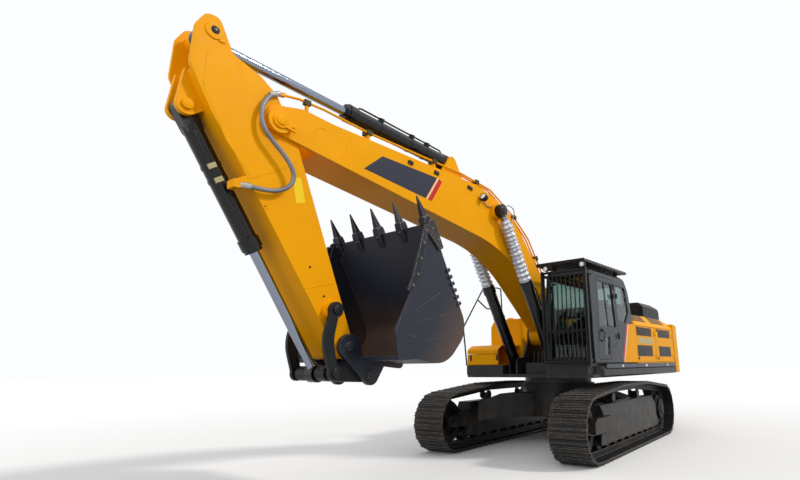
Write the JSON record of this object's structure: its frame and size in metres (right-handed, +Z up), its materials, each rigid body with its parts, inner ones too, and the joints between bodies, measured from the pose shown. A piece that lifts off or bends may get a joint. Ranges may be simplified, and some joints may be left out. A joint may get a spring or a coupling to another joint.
{
  "type": "crawler excavator",
  "caption": "Tracked excavator with a turning upper structure, left-hand cab, boom, arm and toothed bucket worked by hydraulic cylinders.",
  "frame": {"origin": "on the ground, under the middle of the whole machine's box at rest, 2.167 m ahead of the slewing axis", "axes": "+X ahead of the upper structure, +Y to its left (the cab's side), +Z up"},
  "size_m": [11.7871, 3.7294, 5.3325],
  "materials": {
    "body_yellow": "gloss",
    "boot_fabric": "quilted",
    "bucket_steel": "worn",
    "cab_black": "gloss",
    "console_plastic": "matte",
    "cylinder_black": "gloss",
    "engine_grey": "rough",
    "frame_black": "satin",
    "glass": "clear",
    "guard_black": "satin",
    "hood_black": "satin",
    "hose_rubber": "satin",
    "lamp_plastic": "clear",
    "linkage_grey": "satin",
    "pipe_steel": "satin",
    "rod_chrome": "polished",
    "seat_fabric": "woven",
    "tooth_steel": "worn",
    "track_steel": "worn",
    "undercarriage_black": "satin"
  },
  "bodies": {
    "undercarriage": {"car_body": "undercarriage_black", "left_idler": "undercarriage_black", "left_rollers": "undercarriage_black", "left_sprocket": "undercarriage_black", "left_track": "track_steel", "left_track_frame": "undercarriage_black", "right_idler": "undercarriage_black", "right_rollers": "undercarriage_black", "right_sprocket": "undercarriage_black", "right_track": "track_steel", "right_track_frame": "undercarriage_black", "slew_ring": "undercarriage_black"},
    "upper": {"cab_front_guard": "guard_black", "cab_glass": "glass", "cab_lamps": "lamp_plastic", "cab_roof_guard": "guard_black", "cab_shell": "cab_black", "console": "console_plastic", "control_valve": "pipe_steel", "counterweight": "body_yellow", "engine_block": "engine_grey", "engine_housing": "body_yellow", "fuel_tank": "body_yellow", "handrails": "guard_black", "main_frame": "frame_black", "mirror_rail": "guard_black", "seat": "seat_fabric", "tool_box": "body_yellow"},
    "cab_door": {"cab_door": "cab_black", "cab_door_glass": "glass"},
    "left_front_door": {"left_front_door": "body_yellow"},
    "left_rear_door": {"left_rear_door": "body_yellow"},
    "right_service_door": {"right_service_door": "body_yellow"},
    "engine_hood": {"engine_hood": "hood_black"},
    "tool_box_lid": {"tool_box_lid": "body_yellow"},
    "boom": {"boom": "body_yellow", "boom_pipes": "body_yellow", "boom_light": "lamp_plastic"},
    "boom_cylinder_tubes": {"boom_cylinder_tubes": "cylinder_black"},
    "boom_cylinder_rods": {"boom_cylinder_rods": "rod_chrome", "boom_cylinder_boots": "boot_fabric"},
    "arm_cylinder_tube": {"arm_cylinder_tube": "cylinder_black"},
    "arm_cylinder_rod": {"arm_cylinder_rod": "rod_chrome"},
    "arm": {"arm": "body_yellow", "arm_hoses": "hose_rubber"},
    "bucket_cylinder_tube": {"bucket_cylinder_tube": "cylinder_black"},
    "bucket_cylinder_rod": {"bucket_cylinder_rod": "rod_chrome"},
    "bucket_levers": {"bucket_levers": "linkage_grey"},
    "bucket_link": {"bucket_link": "linkage_grey"},
    "bucket": {"bucket": "bucket_steel", "bucket_teeth": "tooth_steel", "side_cutters": "tooth_steel"}
  },
  "joints": [
    {"name": "swing", "type": "hinge", "parent": "undercarriage", "child": "upper", "pos_m": [-2.167, 0, 1.185], "axis": [0, 0, 1], "continuous": true},
    {"name": "boom_lift", "type": "hinge", "parent": "upper", "child": "boom", "pos_m": [-1.793, 0, 2.165], "axis": [0, -1, 0], "range_deg": [-60, 40]},
    {"name": "arm_curl", "type": "hinge", "parent": "boom", "child": "arm", "pos_m": [4.86093, 0, 4.37073], "axis": [0, 1, 0], "range_deg": [-98, 5], "deforming": ["arm_hoses"]},
    {"name": "bucket_curl", "type": "hinge", "parent": "arm", "child": "bucket", "pos_m": [3.68506, 0, 1.81419], "axis": [0, 1, 0], "range_deg": [-150, 15]},
    {"name": "boom_cylinder_tilt", "type": "hinge", "parent": "upper", "child": "boom_cylinder_tubes", "pos_m": [-1.207, 0, 1.6], "axis": [0, -1, 0], "range_deg": [-59.54, 39.7]},
    {"name": "boom_cylinder_slide", "type": "slide", "parent": "boom_cylinder_tubes", "child": "boom_cylinder_rods", "axis": [0.5323, 0, 0.8465], "range_m": [-0.7566, 0.5046], "deforming": ["boom_cylinder_boots"]},
    {"name": "arm_cylinder_tilt", "type": "hinge", "parent": "boom", "child": "arm_cylinder_tube", "pos_m": [1.4815, 0, 4.9993], "axis": [0, 1, 0], "range_deg": [-4.59, 0.24]},
    {"name": "arm_cylinder_slide", "type": "slide", "parent": "arm_cylinder_tube", "child": "arm_cylinder_rod", "axis": [0.9993, 0, 0.0378], "range_m": [-1.6889, 0.0866]},
    {"name": "lever_turn", "type": "hinge", "parent": "arm", "child": "bucket_levers", "pos_m": [3.94592, 0, 2.24016], "axis": [0, 1, 0], "range_deg": [-94.78, 9.49]},
    {"name": "link_turn", "type": "hinge", "parent": "bucket_levers", "child": "bucket_link", "pos_m": [3.91812, 0, 1.50006], "axis": [0, 1, 0], "range_deg": [-5.5, 54.87]},
    {"name": "bucket_cylinder_tilt", "type": "hinge", "parent": "arm", "child": "bucket_cylinder_tube", "pos_m": [5.77811, 0, 4.26368], "axis": [0, 1, 0], "range_deg": [-8.52, 0.86]},
    {"name": "bucket_cylinder_slide", "type": "slide", "parent": "bucket_cylinder_tube", "child": "bucket_cylinder_rod", "axis": [-0.5584, 0, -0.8296], "range_m": [-1.0251, 0.103]},
    {"name": "cab_door_turn", "type": "hinge", "parent": "upper", "child": "cab_door", "pos_m": [-1.707, 1.63, 2.4], "axis": [0, 0, 1], "range_deg": [0, 165]},
    {"name": "left_front_door_turn", "type": "hinge", "parent": "upper", "child": "left_front_door", "pos_m": [-3.807, 1.624, 1.95], "axis": [0, 0, 1], "range_deg": [0, 100]},
    {"name": "left_rear_door_turn", "type": "hinge", "parent": "upper", "child": "left_rear_door", "pos_m": [-5.087, 1.624, 1.95], "axis": [0, 0, 1], "range_deg": [0, 100]},
    {"name": "right_service_door_turn", "type": "hinge", "parent": "upper", "child": "right_service_door", "pos_m": [-5.087, -1.624, 1.95], "axis": [0, 0, -1], "range_deg": [0, 100]},
    {"name": "engine_hood_lift", "type": "hinge", "parent": "upper", "child": "engine_hood", "pos_m": [-5.067, 0, 2.593], "axis": [0, -1, 0], "range_deg": [0, 50]},
    {"name": "tool_box_lid_lift", "type": "hinge", "parent": "upper", "child": "tool_box_lid", "pos_m": [-1.7857, -1.05, 1.97], "axis": [0, -1, 0], "range_deg": [0, 75]}
  ],
  "couplings": [
    {"joint": "boom_cylinder_tilt", "follows": "boom_lift", "ratio": 0.99214},
    {"joint": "boom_cylinder_slide", "follows": "boom_lift", "m_per_rad": 0.72204},
    {"joint": "arm_cylinder_tilt", "follows": "arm_curl", "ratio": 0.0467},
    {"joint": "arm_cylinder_slide", "follows": "arm_curl", "m_per_rad": 0.98711},
    {"joint": "lever_turn", "follows": "bucket_curl", "ratio": 0.63171},
    {"joint": "link_turn", "follows": "bucket_curl", "ratio": -0.36569},
    {"joint": "bucket_cylinder_tilt", "follows": "bucket_curl", "ratio": 0.0567},
    {"joint": "bucket_cylinder_slide", "follows": "bucket_curl", "m_per_rad": 0.39137}
  ]
}
